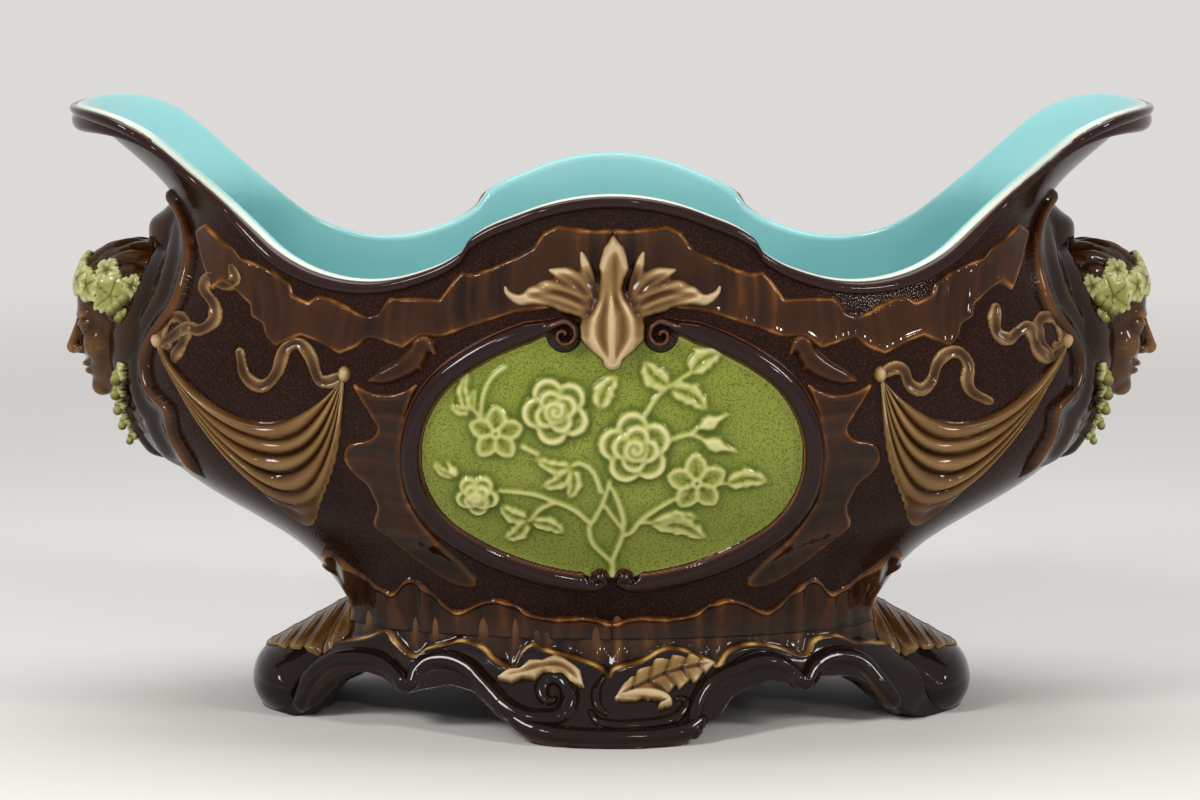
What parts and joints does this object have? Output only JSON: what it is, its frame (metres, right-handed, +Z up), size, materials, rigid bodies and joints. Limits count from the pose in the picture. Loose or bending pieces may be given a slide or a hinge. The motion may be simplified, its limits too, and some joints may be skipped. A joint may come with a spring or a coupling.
{
  "type": "majolica jardiniere",
  "caption": "Long oval glazed jardiniere with a waved rim, outswept lips, end heads in vine wreaths, a flower panel, drapery swags and an arched scroll foot.",
  "frame": {"origin": "middle of the footprint, on the surface it stands on", "axes": "+Z up, +X along the length towards the right end seen from the front, -Y towards the viewer"},
  "size_m": [0.4756, 0.2118, 0.26],
  "materials": {
    "brown_glaze": "gloss",
    "green_glaze": "gloss",
    "tan_glaze": "gloss",
    "vine_glaze": "gloss"
  },
  "bodies": {
    "root": {"apron_leaves_back": "tan_glaze", "apron_leaves_front": "tan_glaze", "apron_moulding_back_left": "brown_glaze", "apron_moulding_back_right": "brown_glaze", "apron_moulding_front_left": "brown_glaze", "apron_moulding_front_right": "brown_glaze", "apron_scroll_back": "brown_glaze", "apron_scroll_front": "brown_glaze", "bowl": "brown_glaze", "bracket_left": "brown_glaze", "bracket_right": "brown_glaze", "cartouche_frame_back": "brown_glaze", "cartouche_frame_front": "brown_glaze", "flower_spray_back": "green_glaze", "flower_spray_front": "green_glaze", "foot": "brown_glaze", "foot_rocaille_back_left": "brown_glaze", "foot_rocaille_back_right": "brown_glaze", "foot_rocaille_front_left": "brown_glaze", "foot_rocaille_front_right": "brown_glaze", "grape_drop_left": "vine_glaze", "grape_drop_right": "vine_glaze", "grapes_left": "vine_glaze", "grapes_right": "vine_glaze", "head_left": "brown_glaze", "head_right": "brown_glaze", "lip_roll_left": "brown_glaze", "lip_roll_right": "brown_glaze", "medallion_back": "green_glaze", "medallion_front": "green_glaze", "palmette_back": "tan_glaze", "palmette_front": "tan_glaze", "ribbon_back_left": "tan_glaze", "ribbon_back_right": "tan_glaze", "ribbon_front_left": "tan_glaze", "ribbon_front_right": "tan_glaze", "rim_bead_back": "brown_glaze", "rim_bead_front": "brown_glaze", "rim_rocaille_back_left": "brown_glaze", "rim_rocaille_back_right": "brown_glaze", "rim_rocaille_front_left": "brown_glaze", "rim_rocaille_front_right": "brown_glaze", "side_rocaille_back_left": "brown_glaze", "side_rocaille_back_right": "brown_glaze", "side_rocaille_front_left": "brown_glaze", "side_rocaille_front_right": "brown_glaze", "swag_back_left": "tan_glaze", "swag_back_right": "tan_glaze", "swag_front_left": "tan_glaze", "swag_front_right": "tan_glaze", "toe_leaf_left": "tan_glaze", "toe_leaf_right": "tan_glaze", "toe_left": "brown_glaze", "toe_right": "brown_glaze", "wreath_left": "vine_glaze", "wreath_right": "vine_glaze"}
  },
  "joints": []
}
